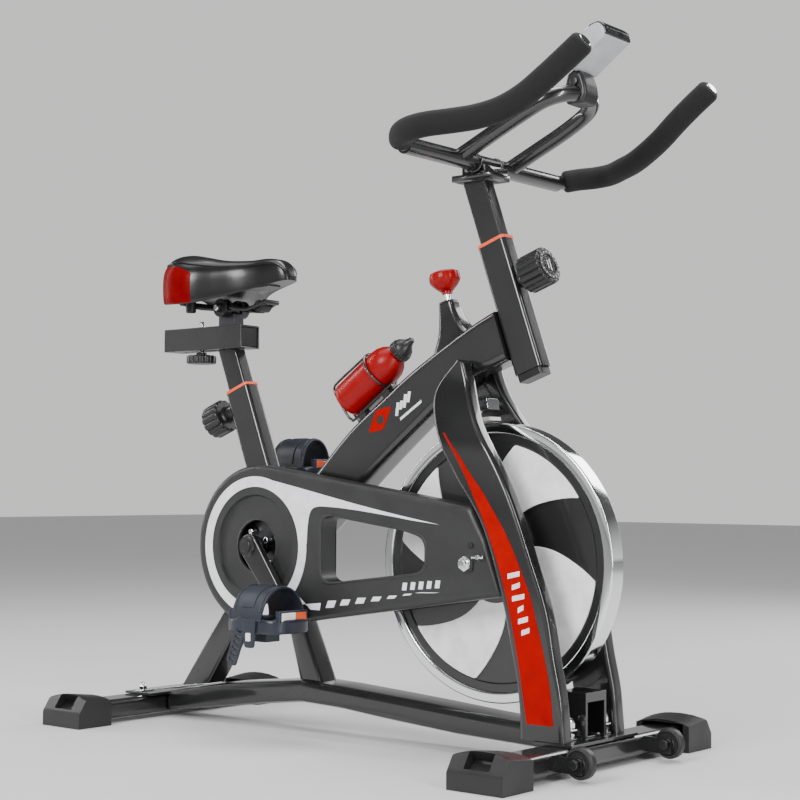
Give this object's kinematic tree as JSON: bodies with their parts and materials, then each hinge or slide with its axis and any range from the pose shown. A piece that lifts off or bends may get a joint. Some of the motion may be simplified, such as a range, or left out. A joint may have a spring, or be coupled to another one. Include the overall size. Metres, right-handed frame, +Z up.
{
  "type": "indoor spin bike",
  "caption": "Indoor cycling bike with a chromed flywheel, chain guard, adjustable saddle and handlebar, drink bottle and console.",
  "frame": {"origin": "on the floor, halfway along the bike's length and in its middle plane", "axes": "+X forwards from the saddle to the handlebar, +Y to the rider's left, +Z up"},
  "size_m": [0.9872, 0.529, 1.023],
  "materials": {
    "frame_paint": "glossy",
    "black_plastic": "satin",
    "guard_plastic": "fine grain, satin",
    "pedal_plastic": "satin",
    "red_plastic": "glossy",
    "orange_plastic": "satin",
    "console_plastic": "satin",
    "bottle_plastic": "glossy",
    "bright_steel": "polished",
    "wheel_metal": "polished rim, black web with silver blades",
    "drive_steel": "dark, satin",
    "strap_rubber": "satin",
    "wheel_rubber": "matte",
    "grip_foam": "matte closed-cell foam",
    "saddle_vinyl": "smooth padded vinyl with red panels",
    "brake_felt": "pressed wool felt"
  },
  "bodies": {
    "frame": {"base_tube": "frame_paint", "rear_stabiliser": "frame_paint", "front_stabiliser": "frame_paint", "rear_foot_right": "black_plastic", "rear_foot_left": "black_plastic", "front_foot_right": "black_plastic", "front_foot_left": "black_plastic", "rear_bolts": "bright_steel", "front_bolts": "bright_steel", "rear_leg": "frame_paint", "front_leg": "frame_paint", "bottom_bracket_shell": "frame_paint", "seat_tube": "frame_paint", "seat_collar": "orange_plastic", "top_tube": "frame_paint", "head_tube": "frame_paint", "head_collar": "orange_plastic", "head_tube_plug": "black_plastic", "fork_leg_right": "frame_paint", "fork_leg_left": "frame_paint", "chain_guard": "guard_plastic", "chain_guard_back": "guard_plastic", "flywheel_axle": "bright_steel", "brake_housing": "frame_paint", "bottle_cage": "frame_paint", "transport_axle_right": "bright_steel", "transport_axle_left": "bright_steel", "chain": "drive_steel"},
    "flywheel": {"flywheel": "wheel_metal", "flywheel_sprocket": "drive_steel"},
    "crank": {"crank_axle": "drive_steel", "chainring": "drive_steel", "crank_right": "drive_steel", "crank_left": "drive_steel"},
    "pedal_right": {"pedal_right": "pedal_plastic", "pedal_strap_right": "strap_rubber"},
    "pedal_left": {"pedal_left": "pedal_plastic", "pedal_strap_left": "strap_rubber"},
    "seat_post": {"seat_post": "frame_paint", "slider_sleeve": "frame_paint"},
    "saddle_carriage": {"slider_bar": "drive_steel"},
    "slider_knob": {"slider_knob": "black_plastic"},
    "saddle": {"saddle_cushion": "saddle_vinyl", "saddle_rails": "bright_steel", "saddle_clamp": "black_plastic"},
    "seat_knob": {"seat_knob": "black_plastic"},
    "head_knob": {"head_knob": "black_plastic"},
    "handlebar": {"handlebar_post": "frame_paint", "handlebar_frame": "frame_paint", "grip_right": "grip_foam", "grip_left": "grip_foam", "console_clamp": "black_plastic", "console": "console_plastic"},
    "brake_rod": {"brake_rod": "drive_steel", "brake_pad": "brake_felt"},
    "brake_knob": {"brake_knob": "red_plastic"},
    "bottle": {"bottle": "bottle_plastic"},
    "bottle_cap": {"bottle_cap": "black_plastic"},
    "transport_wheel_right": {"transport_wheel_right": "wheel_rubber"},
    "transport_wheel_left": {"transport_wheel_left": "wheel_rubber"}
  },
  "joints": [
    {"name": "flywheel_spin", "type": "hinge", "parent": "frame", "child": "flywheel", "pos_m": [0.23054, 0, 0.2752], "axis": [0, 1, 0], "continuous": true},
    {"name": "crank_spin", "type": "hinge", "parent": "frame", "child": "crank", "pos_m": [-0.18386, 0, 0.2885], "axis": [0, 1, 0], "continuous": true},
    {"name": "pedal_right_spin", "type": "hinge", "parent": "crank", "child": "pedal_right", "pos_m": [-0.09459, -0.136, 0.17424], "axis": [0, 1, 0], "continuous": true},
    {"name": "pedal_left_spin", "type": "hinge", "parent": "crank", "child": "pedal_left", "pos_m": [-0.27313, 0.136, 0.40276], "axis": [0, 1, 0], "continuous": true},
    {"name": "seat_height", "type": "slide", "parent": "frame", "child": "seat_post", "axis": [-0.36, 0, 0.933], "range_m": [-0.045, 0.12]},
    {"name": "saddle_slide", "type": "slide", "parent": "seat_post", "child": "saddle_carriage", "axis": [1, 0, 0], "range_m": [-0.035, 0.01]},
    {"name": "slider_knob_turn", "type": "hinge", "parent": "saddle_carriage", "child": "slider_knob", "pos_m": [-0.38286, 0, 0.62], "axis": [0, 0, 1], "range_deg": [-180, 180]},
    {"name": "saddle_tilt", "type": "hinge", "parent": "saddle_carriage", "child": "saddle", "pos_m": [-0.31286, 0, 0.674], "axis": [0, 1, 0], "range_deg": [-10, 10]},
    {"name": "seat_knob_pull", "type": "slide", "parent": "frame", "child": "seat_knob", "axis": [-0.933, 0, -0.36], "range_m": [0, 0.008], "stiffness_N_per_m": 2000, "springref_m": -0.003},
    {"name": "handlebar_height", "type": "slide", "parent": "frame", "child": "handlebar", "axis": [-0.3313, 0, 0.9435], "range_m": [-0.03, 0.07]},
    {"name": "head_knob_pull", "type": "slide", "parent": "frame", "child": "head_knob", "axis": [0.9435, 0, 0.3313], "range_m": [0, 0.008], "stiffness_N_per_m": 2000, "springref_m": -0.003},
    {"name": "brake_push", "type": "slide", "parent": "frame", "child": "brake_rod", "axis": [0.2164, 0, -0.9763], "range_m": [0, 0.0035], "stiffness_N_per_m": 3000, "springref_m": -0.004},
    {"name": "brake_knob_turn", "type": "hinge", "parent": "brake_rod", "child": "brake_knob", "pos_m": [0.13914, 0, 0.655], "axis": [-0.2164, 0, 0.9763], "range_deg": [-180, 180]},
    {"name": "bottle_slide", "type": "slide", "parent": "frame", "child": "bottle", "axis": [0.8141, 0, 0.5807], "range_m": [0, 0.04]},
    {"name": "bottle_cap_turn", "type": "hinge", "parent": "bottle", "child": "bottle_cap", "pos_m": [-0.05786, 0, 0.513], "axis": [0.8141, 0, 0.5807], "continuous": true},
    {"name": "transport_wheel_right_spin", "type": "hinge", "parent": "frame", "child": "transport_wheel_right", "pos_m": [0.44414, -0.114, 0.026], "axis": [0, 1, 0], "continuous": true},
    {"name": "transport_wheel_left_spin", "type": "hinge", "parent": "frame", "child": "transport_wheel_left", "pos_m": [0.44414, 0.114, 0.026], "axis": [0, 1, 0], "continuous": true}
  ],
  "couplings": [
    {"joint": "crank_spin", "follows": "flywheel_spin", "ratio": 0.33333}
  ]
}
